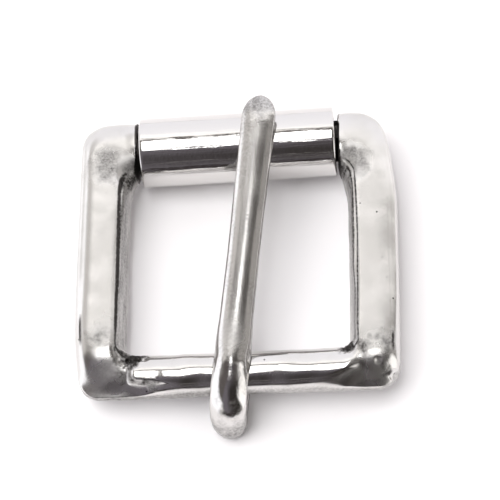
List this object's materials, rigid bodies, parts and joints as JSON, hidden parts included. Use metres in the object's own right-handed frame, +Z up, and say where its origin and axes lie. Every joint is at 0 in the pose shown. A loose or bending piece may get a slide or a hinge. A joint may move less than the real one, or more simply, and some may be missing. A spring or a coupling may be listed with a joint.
{
  "type": "single-prong roller buckle",
  "caption": "Cast metal buckle for a 38 mm strap, with a round heel bar, a turning roller on the front bar and a prong that swings on the heel bar.",
  "frame": {"origin": "on the surface that the buckle lies on, below the middle of its box", "axes": "+X across the strap, +Y from the heel bar to the roller, +Z up out of the face"},
  "size_m": [0.0566, 0.0594, 0.0154],
  "materials": {
    "cast_steel": "cast stainless steel, tumbled and hand polished, with a few casting pits",
    "roller_steel": "turned stainless steel tube, mirror polished"
  },
  "bodies": {
    "frame": {"frame": "cast_steel"},
    "roller": {"roller": "roller_steel"},
    "prong": {"prong": "cast_steel"}
  },
  "joints": [
    {"name": "prong_swing", "type": "hinge", "parent": "frame", "child": "prong", "pos_m": [-0.00117, -0.01954, 0.00623], "axis": [1, 0, 0], "range_deg": [0, 175]},
    {"name": "roller_spin", "type": "hinge", "parent": "frame", "child": "roller", "pos_m": [0.00047, 0.02316, 0.00623], "axis": [0.9998, 0.0175, 0], "continuous": true}
  ]
}
